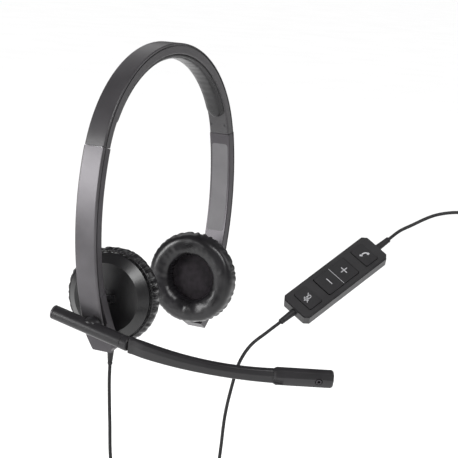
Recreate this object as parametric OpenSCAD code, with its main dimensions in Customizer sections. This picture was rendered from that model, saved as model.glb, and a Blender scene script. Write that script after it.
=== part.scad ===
/* [Headband] */
// Radius of the band over the crown, at mid thickness
crown_r = 77; // [75:1:79]
// Radius of the sides, at mid thickness
side_r = 172.5; // [168:0.5:178]
// Height of the crown above the middle of the ear cups
crown_h = 155; // [152:1:158]
// Angle from the crown to the seam where the arm starts
seam_angle = 76; // [75:1:77]
// Width of the band, front to back
band_w = 14.8; // [14:0.2:16]
// Thickness of the band
band_t = 7.2; // [6.8:0.2:7.6]
// Width of the arms, front to back
arm_w = 15.2; // [14.4:0.2:16.4]
// Thickness of the arms
arm_t = 7.8; // [7.6:0.1:8]

/* [Ear cups] */
// Outer radius of the ear cushion
cushion_r = 31; // [29:0.5:32]
// Radius of the opening in the ear cushion
cushion_hole_r = 15; // [14.5:0.5:18]
// Distance from the head's middle to the cushion's inner face
cushion_x = 35.2; // [34:0.2:37]
// Thickness of the ear cushion
cushion_t = 13.2; // [11:0.2:13.4]
// Radius of the cup's rim
cup_r = 27.6; // [26:0.2:28]
// Turn of both cups about their upright pins at rest
cup_turn = 8; // [0:1:8]

/* [Boom] */
// Diameter of the barrel that the boom turns on
barrel_d = 9; // [8:0.5:9.5]
// Length of the barrel behind the pivot
barrel_back = 26.5; // [20:0.5:28]
// Length of the barrel in front of the pivot
barrel_front = 28.6; // [24:0.5:30]
// Slope of the boom below the horizontal at rest
boom_pitch = 13.4; // [5:0.2:20]
// Radius of the boom strip's curve towards the mouth
boom_r = 185; // [160:5:220]
// Angle that the boom strip curves through
boom_sweep = 28; // [20:1:34]
// Length of the microphone housing
mic_l = 36.5; // [30:0.5:40]

/* [Controller] */
// Length of the controller on the cord
remote_l = 76.5; // [70:0.5:80]
// Width of the controller
remote_w = 23.4; // [22:0.2:25]
// Thickness of the controller
remote_t = 8.2; // [8:0.2:9]

/* [Cord] */
// Diameter of the cord
cord_d = 2.2; // [2:0.1:2.4]
// Turns in the tied coil
coil_turns = 18; // [12:1:20]

/* [Hidden] */

$fn = 96;

// A small length that lets cuts pass through a face
eps = 0.5;

// Centre of the crown arc and of the side arcs, which meet it at the seam
crown_z = crown_h - crown_r;
side_cx = (side_r - crown_r) * sin(seam_angle);
side_cz = crown_z - (side_r - crown_r) * cos(seam_angle);
seam_a = 90 - seam_angle;

// The two skins of band and arm part here, measured out from mid thickness
part_r = 1.6;
groove_h = 0.9;
groove_d = 0.7;
edge_r = 1.1;

// The steel strip in the band, and the slot that the arm runs on it with
strip_w = 8.4;
strip_t = 0.8;
slot_gap = 0.05;
channel_w = 4;
channel_t = 1.4;
strip_below = 17;
lead_clear = 0.3;

// The arm's lower end: the pod closes it below the cover
arm_bottom_right = -29.9;
arm_bottom_left = -31.4;
arm_end_a = -26.4;
pod_top_a = -17;
pod_inner = 4.1;
arm_inner = 3.5;

// Pivot of the ear cup: a vertical swivel pin and a level tilt pin
swivel_x = 62;
tilt_x = 58.5;
pin_r = 1;
pin_gap = 0.04;
block_w = 7;
block_h = 7.2;
lug_h = 2.4;
lug_w = 6.6;

// The cup, measured out from the head's middle
rim_x = cushion_x + cushion_t + 0.1;
face_x = 55;
face_r = 22;
cup_wall = 1.6;
driver_r = 14;

// The boom's pivot and its tilt, square to the arm's face
hub = [-75.6, -2, -15];
hub_tilt = 20;
hub_r = 5.6;
axle_r = 2.5;
boom_start = 3;
boom_gap = 0.35;
strip_height = 10.4;
mic_h = 11;
mic_w = 7;

// The controller's middle and its turn in space
remote_c = [67, -98, 10];
remote_turn = [34.5, -30, -24.5];
remote_axis = [cos(-30) * cos(-24.5), cos(-30) * sin(-24.5), sin(30)];
remote_wall = 1.4;
remote_split = -0.6;
relief_l = 12;
relief_r = 2.3;
key_w = 15.5;
key_l = 10.5;
key_pitch = 26;
rocker_l = 27.5;
key_gap = 0.3;
key_rise = 0.5;

// Where the cord leaves the arm
exit_x = -57;
exit_y = -6.2;
exit_z = -31;
exit_relief_l = 10;

// Cord from the headset down, round and up to the controller
remote_in = remote_c - remote_axis * (remote_l / 2 + relief_l);
headset_route = [
    [exit_x, exit_y, exit_z - exit_relief_l], [-57, -6.6, -54], [-57, -8.6, -78],
    [-56.6, -11, -104], [-52.6, -16, -130], [-42, -27, -149], [-28.5, -41, -156],
    [-15, -54, -146], [-9, -60, -124], [-8, -62, -98], [-7, -63, -74],
    [-5, -65.5, -54], [-1, -67.5, -39], [7, -70.6, -28.5],
    remote_in - remote_axis * 12, remote_in];

// Cord from the controller on to the tied coil
remote_out = remote_c + remote_axis * (remote_l / 2 + relief_l);
coil_c = [150, -178, 20];
coil_turn = 35;
coil_mid_r = 13;
coil_w = 11;
coil_h = 11;
usb_route = [
    remote_out, remote_out + remote_axis * 10, [120, -125, 44], [134, -138, 52],
    [146, -154, 54], [150, -169, 48], [150, -177, 38]];

// Cord from the coil to the plug that hangs below it
plug_top = [150, -178, -14];
plug_route = [[150, -178, 2], [150, -178, -6], plug_top];
plug_relief_l = 12;
plug_l = 20;
plug_w = 15;
plug_t = 7.5;
shell_l = 12;
shell_w = 12;
shell_t = 4.5;

cover_colour = "#6e6c6e";
frame_colour = "#3c3b3d";
black = "#1c1b1d";
steel = "#b4b6ba";

// ---------- shared shapes ----------

// Rectangle with round corners, centred
module round_rect(x, y, r) {
    square([x - 2 * r, y], center = true);
    square([x, y - 2 * r], center = true);
    for (sx = [-1, 1], sy = [-1, 1])
        translate([sx * (x / 2 - r), sy * (y / 2 - r)]) circle(r);
}

// Bar with round corners, its outline in X and Y, standing on Z = 0
module round_bar(x, y, z, r) {
    linear_extrude(z) round_rect(x, y, r);
}

// Sweep of a section along the left side's arc, angles from level
module side_arc(low, high) {
    translate([-side_cx, 0, side_cz]) rotate([90, 0, 0]) rotate([0, 0, low])
        rotate_extrude(angle = high - low) translate([side_r, 0]) children();
}

// Sweep of a section over the crown, angles from level
module crown_arc(low, high) {
    translate([0, 0, crown_z]) rotate([90, 0, 0]) rotate([0, 0, low])
        rotate_extrude(angle = high - low) translate([crown_r, 0]) children();
}

// Solid turned about the ear cup's level axis: its section is radius by distance out
module cup_turned() {
    rotate([0, 90, 0]) rotate_extrude() children();
}

// The right side is the left side's mirror image
module on_side(side) {
    mirror([side == "right" ? 1 : 0, 0, 0]) children();
}

// The ear cup and its pivot block, turned about the upright pin as at rest
module on_cup_side(side) {
    x = side == "right" ? -swivel_x : swivel_x;
    translate([x, 0, 0]) rotate([0, 0, cup_turn]) translate([-x, 0, 0])
        on_side(side) children();
}

// Peg along X from x1 to x2 at height z
module peg_x(r, x1, x2, y = 0, z = 0) {
    translate([x1, y, z]) rotate([0, 90, 0]) cylinder(r = r, h = x2 - x1);
}

// Peg along Y, centred
module peg_y(r, l, x, z = 0) {
    translate([x, 0, z]) rotate([90, 0, 0]) cylinder(r = r, h = l, center = true);
}

// ---------- headband sections: X is out from mid thickness, Y is across ----------

module cover_section(w, t) {
    difference() {
        intersection() {
            round_rect(t, w, edge_r);
            translate([part_r, -w / 2]) square([t, w]);
        }
        for (s = [-1, 1])
            translate([part_r + groove_h / 2 - 0.01, s * (w / 2)])
                square([groove_h, 2 * groove_d], center = true);
    }
}

module frame_section(w, t, inner, gap) {
    difference() {
        intersection() {
            round_rect(t, w, edge_r);
            translate([-inner, -w / 2]) square([inner + part_r, w]);
        }
        square([strip_t + 2 * gap, strip_w + 2 * gap], center = true);
        translate([-channel_t, -channel_w / 2]) square([t, channel_w]);
    }
}

module strip_section(less) {
    square([strip_t - less, strip_w - 2 * less], center = true);
}

// ---------- headband ----------

module band_cover() {
    color(frame_colour) crown_arc(seam_a, 180 - seam_a) cover_section(band_w, band_t);
}

module band_frame() {
    color(frame_colour) difference() {
        crown_arc(seam_a, 180 - seam_a) frame_section(band_w, band_t, band_t / 2, 0);
        for (a = screw_angles)
            crown_radial(a) translate([0, 0, -band_t / 2 - eps]) cylinder(r = screw_r, h = 3);
    }
}

// Small screws that hold the cover to the frame, near the pad's two ends
screw_r = 0.9;
screw_y = 5.2;
screw_angles = [19, 161];

module crown_radial(a) {
    for (s = [-1, 1])
        translate([0, s * screw_y, crown_z]) rotate([0, 90 - a, 0])
            translate([0, 0, crown_r]) children();
}

module band_screws() {
    color(steel) for (a = screw_angles)
        crown_radial(a) translate([0, 0, -band_t / 2 + 0.3]) cylinder(r = screw_r, h = 2);
}

module band_spring() {
    color(steel) {
        // the crown part is a little slimmer and laps into the two side parts
        crown_arc(seam_a - 1.2, 181.2 - seam_a) strip_section(0.2);
        for (side = ["left", "right"])
            on_side(side) difference() {
                side_arc(seam_a - strip_below, seam_a) strip_section(0);
                for (a = [seam_a - strip_below + 1.5 : 2.5 : seam_a - 5], s = [-1, 1])
                    side_radial(a) translate([0, s * strip_w / 2, 0])
                        cube([1.2, 1, 3 * strip_t], center = true);
            }
    }
}

// Frame square to the left side's arc, its Z pointing out
module side_radial(a) {
    translate([-side_cx, 0, side_cz]) rotate([0, 90 - a, 0])
        translate([0, 0, side_r]) children();
}

// The pad lines the crown between the two screws' ends
pad_end = 24;
pad_t = 3.2;
pad_w = 13;

module head_pad() {
    color(black) crown_arc(pad_end, 180 - pad_end)
        translate([-band_t / 2 - pad_t / 2 - 0.02, 0]) round_rect(pad_t, pad_w, 1.4);
}

// ---------- arms ----------

module arm_cover(side) {
    color(cover_colour) difference() {
        on_side(side)
            side_arc(arm_end_a + 0.1, seam_a - 0.12) cover_section(arm_w, arm_t);
        // the boom's axle passes through the right cover
        if (side == "right")
            boom_place() peg_x(axle_r + 0.15, 0, barrel_d / 2 + 8);
    }
}

// Outline of the arm's lower end, seen from the side: the boom's arm reaches further forward
module pod_outline(side) {
    if (side == "right")
        polygon([[-7.5, 8], [7.5, 8], [10.4, -20], [10.4, -29.4], [9, -31.4], [7, -40],
            [-3.2, -40], [-5.7, -31.2], [-7.5, -22]]);
    else
        polygon([[-7.5, 8], [7.5, 8], [8.2, -16], [8.2, -29], [6, -40],
            [-6, -40], [-8.2, -29], [-8.2, -16]]);
}

// Part of the arm's thickness in the pod, from its inner face out to a distance
module pod_slice(low, high, out, side) {
    intersection() {
        side_arc(low, high)
            translate([-pod_inner, -20]) square([pod_inner + out, 40]);
        translate([40, 0, 0]) rotate([90, 0, 90])
            linear_extrude(40) mirror([1, 0]) pod_outline(side);
    }
}

module pod(side) {
    bottom = side == "right" ? arm_bottom_right : arm_bottom_left;
    pod_slice(bottom, pod_top_a, part_r - 0.05, side);
    pod_slice(bottom, arm_end_a, arm_t / 2 - 0.2, side);
}

module arm_frame(side) {
    color(frame_colour) on_side(side) difference() {
        union() {
            side_arc(arm_end_a + 0.8, seam_a - 0.12)
                frame_section(arm_w, arm_t, arm_inner, slot_gap);
            pod(side);
            swivel_lugs();
        }
        // recess for the liner
        liner_shape(0.1);
        // bore of the swivel pin
        translate([swivel_x, 0, -10]) cylinder(r = pin_r, h = 20);
        // seat of the click spring
        side_radial(spring_a) translate([0, 0, -channel_t - 0.25])
            cube([spring_l + 0.2, 5.2, 1.2], center = true);
        arm_screw_places() translate([0, 0, -1]) cylinder(r = screw_r, h = screw_l + 1);
        if (side == "right") {
            // bore of the boom's axle and seat of the cord relief
            mirror([1, 0, 0]) boom_place() peg_x(axle_r, barrel_d / 2 + 0.7, barrel_d / 2 + 4.6);
            mirror([1, 0, 0]) translate([exit_x, exit_y, exit_z]) {
                cylinder(r = relief_r - 0.8, h = 4);
                translate([0, 0, -4]) cylinder(r = relief_r, h = 5);
            }
        }
    }
}

// Lugs above and below the pivot block, rooted in the slanted arm
module swivel_lugs() {
    for (z = [block_h / 2 + 0.2, -block_h / 2 - 0.2 - lug_h])
        translate([swivel_x, 0, z]) {
            cylinder(r = lug_w / 2, h = lug_h);
            translate([0, -lug_w / 2, 0])
                cube([arm_face_x(z + lug_h) - swivel_x + 0.6, lug_w, lug_h]);
        }
}

// Distance out of the arm's inner face at a height
function arm_face_x(z) =
    sqrt((side_r - arm_inner) ^ 2 - (z - side_cz) ^ 2) - side_cx;

// The inner face's inlaid liner: a strip with round ends
liner_w = 12.2;
liner_t = 0.7;
liner_corner = 2;
liner_top_a = 11.5;
liner_low_a = -9;

module liner_shape(extra) {
    intersection() {
        side_arc(liner_low_a, liner_top_a)
            translate([-arm_inner - liner_cut(extra), -liner_w / 2 - 1])
                square([liner_t + liner_cut(extra), liner_w + 2]);
        translate([60, 0, 0]) rotate([90, 0, 90]) linear_extrude(40)
            translate([0, (liner_z(liner_low_a) + liner_z(liner_top_a)) / 2])
                round_rect(liner_w + 2 * extra, liner_z(liner_top_a) - liner_z(liner_low_a), liner_corner);
    }
}

// The recess is cut from just inside the inner face
function liner_cut(extra) = extra > 0 ? 0.3 : 0;
function liner_z(a) = side_cz + (side_r - arm_inner) * sin(a);

module arm_liner(side) {
    color(cover_colour) on_side(side) liner_shape(0);
}

// Leaf spring whose bump clicks into the strip's notches
spring_a = 9;
spring_l = 12;

module click_spring(side) {
    color(steel) on_side(side) side_radial(spring_a) {
        translate([0, 0, -channel_t - 0.3]) cube([spring_l, 5, 0.4], center = true);
        translate([0, 0, -channel_t]) rotate([90, 0, 0])
            cylinder(r = 0.7, h = 3.6, center = true);
    }
}

// Screws from the inner face: one above the pivot, one through the pod
screw_l = 4.4;

module arm_screw_places() {
    side_radial(-13.5) translate([0, 0, -arm_inner]) children();
    side_radial(-27) translate([0, 0, -pod_inner]) children();
}

module arm_screws(side) {
    color(steel) on_side(side) arm_screw_places()
        translate([0, 0, 0.3]) cylinder(r = screw_r, h = screw_l - 0.3);
}

module swivel_pin(side) {
    color(steel) on_side(side)
        translate([swivel_x, 0, -block_h / 2 - 0.2 - lug_h])
            cylinder(r = pin_r, h = block_h + 0.4 + 2 * lug_h);
}

// ---------- ear cups ----------

module pivot_block(side) {
    color(black) on_cup_side(side) difference() {
        union() {
            translate([swivel_x, 0, -block_h / 2]) cylinder(r = 2.6, h = block_h);
            translate([tilt_x - 1.8, -block_w / 2 + 0.1, -2.4])
                cube([swivel_x - tilt_x + 1.8, block_w - 0.2, 4.8]);
        }
        translate([swivel_x, 0, -10]) cylinder(r = pin_r + pin_gap, h = 20);
        peg_y(pin_r, 20, tilt_x);
    }
}

module tilt_pin(side) {
    color(steel) on_cup_side(side) peg_y(pin_r, block_w + 5, tilt_x);
}

module cup_shell(side) {
    color(frame_colour) on_cup_side(side) {
        cup_turned() polygon([
            [0, face_x - 0.6], [face_r - 4, face_x - 0.2], [face_r, face_x],
            [cup_r, rim_x + 1.6], [cup_r, rim_x], [cup_r - cup_wall, rim_x],
            [cup_r - cup_wall, rim_x + 1.2], [face_r - 1, face_x - cup_wall],
            [face_r - 4, face_x - cup_wall - 0.3], [0, face_x - cup_wall - 0.6]]);
        cup_lugs();
    }
}

module cup_lugs() {
    for (s = [-1, 1])
        difference() {
            translate([0, s * (block_w / 2 + 1.35), 0]) {
                peg_y(2.2, 2.5, tilt_x);
                translate([face_x - 1, -1.25, -2.2]) cube([tilt_x - face_x + 1, 2.5, 4.4]);
            }
            peg_y(pin_r + pin_gap, 40, tilt_x);
        }
}

module cup_baffle(side) {
    color(black) on_cup_side(side) difference() {
        cup_turned() polygon([
            [0, rim_x + 0.1], [cup_r - cup_wall - 0.1, rim_x + 0.1],
            [cup_r - cup_wall - 0.1, rim_x + 1.1], [driver_r + 1.2, rim_x + 1.1],
            [driver_r + 1.2, rim_x + 2.6], [driver_r, rim_x + 2.6],
            [driver_r, rim_x + 1.1], [0, rim_x + 1.1]]);
        peg_x(1, rim_x - 1, rim_x + 3);
        for (ring = [1, 2], k = [0 : 6 * ring - 1])
            rotate([k * 60 / ring, 0, 0]) peg_x(1, rim_x - 1, rim_x + 3, 0, ring * 4.2);
    }
}

module driver(side) {
    color(steel) on_cup_side(side) cup_turned() polygon([
        [0, rim_x + 1.1], [driver_r, rim_x + 1.1], [driver_r, rim_x + 2.6],
        [8, rim_x + 4], [0, rim_x + 4]]);
}

module speaker_cloth(side) {
    color("#2b262c") on_cup_side(side) peg_x(cushion_hole_r - 0.4, rim_x - 0.6, rim_x);
}

module ear_cushion(side) {
    color(black) on_cup_side(side) cup_turned()
        translate([(cushion_r + cushion_hole_r) / 2, cushion_x + cushion_t / 2])
            round_rect(cushion_r - cushion_hole_r, cushion_t, 5.4);
}

// ---------- boom ----------

// Boom's own frame at its pivot: X towards the head, -Y forward, Z up
module boom_place() {
    translate(hub) rotate([0, -hub_tilt, 0]) rotate([boom_pitch, 0, 0]) children();
}

module boom_axle() {
    color(steel) boom_place() {
        peg_x(axle_r, -1.5, barrel_d / 2 + 4.6);
        peg_x(axle_r + 0.8, -2.3, -1.5);
    }
}

module boom_barrel() {
    color(frame_colour) boom_place() difference() {
        union() {
            translate([0, barrel_back, 0]) rotate([90, 0, 0])
                cylinder(r = barrel_d / 2, h = barrel_front + barrel_back);
            peg_x(hub_r, -0.5, barrel_d / 2 + 0.5);
        }
        peg_x(axle_r + pin_gap, -1.5, barrel_d);
        peg_x(axle_r + 1.2, -2.8, -1.5);
        // hollow for the microphone leads, and the cap's seat
        translate([0, -5, 0]) rotate([90, 0, 0]) cylinder(r = 2, h = barrel_front);
        translate([0, barrel_back + 1, 0]) rotate([90, 0, 0]) cylinder(r = 3.2, h = 9);
    }
}

module barrel_cap() {
    color(cover_colour) boom_place() {
        translate([0, barrel_back, 0]) rotate([90, 0, 0]) cylinder(r = 3.2, h = 5);
        translate([0, barrel_back + 0.8, 0]) rotate([90, 0, 0])
            cylinder(r = barrel_d / 2, h = 0.8);
    }
}

// Section of the strip: X is towards the head, Y is up
module boom_section(h) {
    polygon([
        [-2.3, -h / 2 + 0.8], [-1.6, -h / 2], [1.8, -h / 2], [2.3, -h / 2 + 0.7],
        [2.3, h / 2 - 0.7], [1.8, h / 2], [-0.8, h / 2], [-1.4, h / 2 - 0.5], [-2.7, h / 6]]);
}

boom_centre = [boom_r * cos(boom_start), -barrel_front - boom_gap + boom_r * sin(boom_start)];
boom_end_a = boom_start + boom_sweep;
boom_tip = boom_centre - boom_r * [cos(boom_end_a), sin(boom_end_a)];

module boom_strip() {
    color(frame_colour) boom_place() {
        translate([boom_centre.x, boom_centre.y, 0]) rotate([0, 0, 180 + boom_start])
            rotate_extrude(angle = boom_sweep) translate([boom_r, 0]) mirror([1, 0])
                boom_section(strip_height);
        // spigot that joins the strip to the barrel
        translate([0, -barrel_front + 5, 0]) rotate([90, 0, 0]) cylinder(r = 1.9, h = 6.5);
    }
}

// Frame at the strip's end: -Y along the housing
module mic_place() {
    boom_place() translate([boom_tip.x, boom_tip.y, 0]) rotate([0, 0, boom_end_a]) children();
}

module mic_housing() {
    color(frame_colour) mic_place() difference() {
        translate([mic_w / 2, 0, 0]) rotate([90, 0, -90]) union() {
            linear_extrude(mic_w) translate([mic_l / 2, 0]) round_rect(mic_l, mic_h, 3.6);
        }
        peg_x(mic_hole_r, -mic_w, 0, -mic_l + 9, -1);
        peg_x(mic_room_r, -0.2, mic_w / 2 - 1, -mic_l + 9, -1);
    }
}

mic_hole_r = 1.3;
mic_room_r = 3;

module mic_element() {
    color(steel) mic_place() peg_x(mic_room_r, 0, 2.4, -mic_l + 9, -1);
}

// ---------- controller ----------

// The controller's own frame: X along it, Z out of its keys
module remote_place() {
    translate(remote_c) rotate(remote_turn) children();
}

// Outline with cut corners
module remote_outline(in) {
    x = remote_l / 2 - in;
    y = remote_w / 2 - in;
    c = 2.8 - in / 2;
    polygon([[-x, -y + c], [-x + c, -y], [x - c, -y], [x, -y + c],
        [x, y - c], [x - c, y], [-x + c, y], [-x, y - c]]);
}

// Openings for the three keys
module key_holes(gap) {
    for (s = [-1, 1])
        translate([s * key_pitch, 0]) round_rect(key_l + 2 * gap, key_w + 2 * gap, 1.2);
    round_rect(rocker_l + 2 * gap, key_w + 2 * gap, 1.2);
}

top_face = remote_t / 2;

module remote_top() {
    color(frame_colour) remote_place() difference() {
        translate([0, 0, remote_split]) union() {
            linear_extrude(top_face - remote_split - 0.7) remote_outline(0);
            translate([0, 0, top_face - remote_split - 0.7])
                linear_extrude(0.7) remote_outline(0.6);
        }
        translate([0, 0, remote_split - 1])
            linear_extrude(top_face - remote_split - 0.4) remote_outline(remote_wall);
        translate([0, 0, -1]) linear_extrude(remote_t) key_holes(key_gap);
        relief_seats();
    }
}

module remote_bottom() {
    color(frame_colour) remote_place() difference() {
        union() {
            translate([0, 0, -top_face]) linear_extrude(0.7) remote_outline(0.6);
            translate([0, 0, -top_face + 0.7])
                linear_extrude(top_face + remote_split - 0.7) remote_outline(0);
        }
        translate([0, 0, -top_face + remote_wall]) linear_extrude(10) remote_outline(remote_wall);
        relief_seats();
        for (x = screw_places)
            translate([x, 0, -top_face - 1]) cylinder(r = screw_r, h = 4);
    }
}

screw_places = [-17.5, 17.5];

module remote_screws() {
    color(steel) remote_place() for (x = screw_places)
        translate([x, 0, -top_face + 0.2]) cylinder(r = screw_r, h = board_z + top_face - 0.2);
}

module relief_seats() {
    for (s = [0, 180])
        rotate([0, 0, s]) peg_x(relief_r - 0.4, remote_l / 2 - 2, remote_l / 2 + 1);
}

board_z = -1.6;
board_t = 0.8;

module remote_board() {
    color("#1f5a34") remote_place() translate([0, 0, board_z])
        linear_extrude(board_t) square([remote_l - 12, remote_w - 5], center = true);
}

// Tact switches under the keys
switch_t = 0.8;

module remote_switches() {
    color(steel) remote_place() for (x = [-key_pitch, -rocker_l / 3, rocker_l / 3, key_pitch])
        translate([x, 0, board_z + board_t + switch_t / 2])
            cube([4, 4, switch_t], center = true);
}

// Key with a flange under the casing and a plunger over each of its switches
module key_body(l, drop, plungers) {
    flange_z = top_face - remote_wall - drop - key_flange_t;
    translate([0, 0, flange_z])
        linear_extrude(top_face + key_rise - flange_z) round_rect(l, key_w, 1.2);
    translate([0, 0, flange_z])
        linear_extrude(key_flange_t) round_rect(l + 1.6, key_w + 1.6, 1.2);
    for (x = plungers)
        translate([x, 0, board_z + board_t + switch_t + key_travel + 0.05])
            cylinder(r = 1.2, h = 2);
}

key_flange_t = 0.5;
key_travel = 0.6;

module mute_button() {
    color(frame_colour) remote_place() translate([-key_pitch, 0, 0])
        key_body(key_l, 0.15, [0]);
}

module call_button() {
    color(frame_colour) remote_place() translate([key_pitch, 0, 0])
        key_body(key_l, 0.15, [0]);
}

module volume_rocker() {
    color(frame_colour) remote_place()
        key_body(rocker_l - 0.4, 0.6, [-rocker_l / 3, rocker_l / 3]);
}

// Strain relief at one end of the controller, the turn s picks which
module remote_relief(s) {
    color(black) remote_place() rotate([0, 0, s]) translate([remote_l / 2 - 2, 0, 0]) {
        rotate([0, 90, 0]) cylinder(r = relief_r - 0.4, h = 2);
        translate([2, 0, 0]) rotate([0, 90, 0]) cylinder(r = relief_r, h = relief_l - 1.5);
        translate([relief_l + 0.5, 0, 0]) rotate([0, 90, 0])
            cylinder(r = relief_r - 0.4, h = 1.5);
    }
}

// ---------- cords ----------

// Smooth curve through a route: steps points for each of its spans
function lean(p, i) =
    i == 0 ? p[1] - p[0] :
    i == len(p) - 1 ? p[i] - p[i - 1] : (p[i + 1] - p[i - 1]) / 2;
function span_point(a, b, ta, tb, u) =
    a * (2 * u ^ 3 - 3 * u ^ 2 + 1) + ta * (u ^ 3 - 2 * u ^ 2 + u)
    + b * (3 * u ^ 2 - 2 * u ^ 3) + tb * (u ^ 3 - u ^ 2);
function smooth(p, steps) = [
    for (i = [0 : len(p) - 2], k = [0 : steps - 1])
        span_point(p[i], p[i + 1], lean(p, i), lean(p, i + 1), k / steps),
    p[len(p) - 1]];
function unit(v) = v / norm(v);

cord_sides = 8;
sideways = unit([1, 1, 0]);

// Eight-sided tube along a route
module tube(route, steps) {
    line = smooth(route, steps);
    n = len(line);
    rings = [for (i = [0 : n - 1])
        let (
            t = i == 0 ? unit(route[1] - route[0]) :
                i == n - 1 ? unit(route[len(route) - 1] - route[len(route) - 2]) :
                unit(line[i + 1] - line[i - 1]),
            a = unit(cross(t, sideways)),
            b = cross(t, a))
        for (k = [0 : cord_sides - 1])
            line[i] + cord_d / 2 * (a * cos(k * 360 / cord_sides) + b * sin(k * 360 / cord_sides))];
    faces = [
        for (i = [0 : n - 2], k = [0 : cord_sides - 1])
            let (m = (k + 1) % cord_sides, c = i * cord_sides, d = c + cord_sides)
            each [[c + k, c + m, d + m], [c + k, d + m, d + k]],
        [for (k = [0 : cord_sides - 1]) cord_sides - 1 - k],
        [for (k = [0 : cord_sides - 1]) (n - 1) * cord_sides + k]];
    polyhedron(rings, faces);
}

module cord_relief() {
    color(black) translate([exit_x, exit_y, exit_z]) {
        cylinder(r = relief_r - 0.8, h = 4);
        translate([0, 0, -exit_relief_l + 1.2]) cylinder(r = relief_r, h = exit_relief_l - 0.2);
        translate([0, 0, -exit_relief_l]) cylinder(r = relief_r - 0.5, h = 1.2);
    }
}

module headset_cord() {
    color(black) tube(headset_route, 4);
}

module usb_cord() {
    color(black) tube(usb_route, 3);
}

module plug_cord() {
    color(black) tube(plug_route, 1);
}

// The coil hangs on edge, its axis level
module coil_place() {
    translate(coil_c) rotate([0, 0, coil_turn]) rotate([90, 0, 0]) children();
}

module cord_coil() {
    color(black) coil_place() rotate_extrude()
        translate([coil_mid_r, 0]) round_rect(coil_w, coil_h - 2, 4);
}

// Strap round one side of the coil
tie_w = 6;
tie_t = 0.8;

module cord_tie() {
    color("#303030") coil_place() translate([coil_mid_r, 0, 0]) rotate([90, 0, 0])
        translate([0, 0, -tie_w / 2]) linear_extrude(tie_w) difference() {
            round_rect(coil_w + 2 * tie_t + 0.6, coil_h - 1.4 + 2 * tie_t, 4.6);
            round_rect(coil_w + 0.6, coil_h - 1.4, 4.2);
        }
}

// ---------- plug ----------

module plug_place() {
    translate(plug_top) rotate([180, 0, coil_turn]) children();
}

module plug_relief() {
    color(black) plug_place() {
        cylinder(r = 1.9, h = 2);
        translate([0, 0, 2]) cylinder(r = 2.6, h = plug_relief_l - 2);
    }
}

module plug_body() {
    color(black) plug_place() translate([0, 0, plug_relief_l])
        linear_extrude(plug_l) round_rect(plug_w, plug_t, 2);
}

module plug_shell() {
    color(steel) plug_place() translate([0, 0, plug_relief_l + plug_l])
        linear_extrude(shell_l) difference() {
            square([shell_w, shell_t], center = true);
            square([shell_w - 0.7, shell_t - 0.7], center = true);
        }
}

module plug_tongue() {
    color("#e8e8e8") plug_place() translate([0, shell_t / 2 - 0.35 - 1, plug_relief_l + plug_l])
        linear_extrude(shell_l - 0.6) square([shell_w - 1.2, 1.8], center = true);
}

// ---------- nodes ----------

band_cover();
band_frame();
band_spring();
head_pad();
band_screws();
arm_cover("right");  // right_arm_cover
arm_frame("right");  // right_arm_frame
arm_liner("right");  // right_arm_liner
click_spring("right");  // right_click_spring
arm_screws("right");  // right_arm_screws
swivel_pin("right");  // right_swivel_pin
boom_axle();
cord_relief();
arm_cover("left");  // left_arm_cover
arm_frame("left");  // left_arm_frame
arm_liner("left");  // left_arm_liner
click_spring("left");  // left_click_spring
arm_screws("left");  // left_arm_screws
swivel_pin("left");  // left_swivel_pin
pivot_block("right");  // right_pivot_block
tilt_pin("right");  // right_tilt_pin
pivot_block("left");  // left_pivot_block
tilt_pin("left");  // left_tilt_pin
cup_shell("right");  // right_cup_shell
cup_baffle("right");  // right_cup_baffle
driver("right");  // right_driver
speaker_cloth("right");  // right_speaker_cloth
ear_cushion("right");  // right_ear_cushion
cup_shell("left");  // left_cup_shell
cup_baffle("left");  // left_cup_baffle
driver("left");  // left_driver
speaker_cloth("left");  // left_speaker_cloth
ear_cushion("left");  // left_ear_cushion
boom_barrel();
barrel_cap();
boom_strip();
mic_housing();
mic_element();
remote_top();
remote_bottom();
remote_board();
remote_switches();
remote_screws();
remote_relief(180);  // remote_relief_in
remote_relief(0);  // remote_relief_out
mute_button();
volume_rocker();
call_button();
headset_cord();
usb_cord();
cord_coil();
cord_tie();
plug_cord();
plug_relief();
plug_body();
plug_shell();
plug_tongue();
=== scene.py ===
import math
import random

import bmesh
import bpy
import numpy as np
from mathutils import Matrix, Vector


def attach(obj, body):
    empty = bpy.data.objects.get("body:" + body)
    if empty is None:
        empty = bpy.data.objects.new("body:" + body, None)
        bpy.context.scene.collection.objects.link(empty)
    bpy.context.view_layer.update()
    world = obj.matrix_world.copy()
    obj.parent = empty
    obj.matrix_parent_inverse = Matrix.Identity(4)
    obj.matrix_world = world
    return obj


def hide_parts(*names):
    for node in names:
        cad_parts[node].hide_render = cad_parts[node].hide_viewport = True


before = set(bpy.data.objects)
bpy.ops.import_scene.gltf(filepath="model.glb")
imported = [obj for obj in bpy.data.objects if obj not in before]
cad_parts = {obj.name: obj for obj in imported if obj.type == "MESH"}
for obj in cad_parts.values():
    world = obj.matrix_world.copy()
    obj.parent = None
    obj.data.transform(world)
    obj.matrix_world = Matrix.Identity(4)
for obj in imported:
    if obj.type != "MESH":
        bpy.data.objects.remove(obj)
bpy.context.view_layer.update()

MM = 0.001
rng = random.Random(11)


def mm(*xyz):
    """A point given in millimetres, in metres."""
    return Vector(xyz) * MM


# ---------- camera ----------

VIEW = Vector((0.832, 0.516, -0.202)).normalized()
UP = Vector((0.14, 0.157, 0.978))
CAMERA_FAR = 1070.8
CAMERA_AT = -CAMERA_FAR * MM * VIEW
AIM_AT = mm(31.3, -35.2, 39.1)
LENS = 128.75
SENSOR = 36


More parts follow.
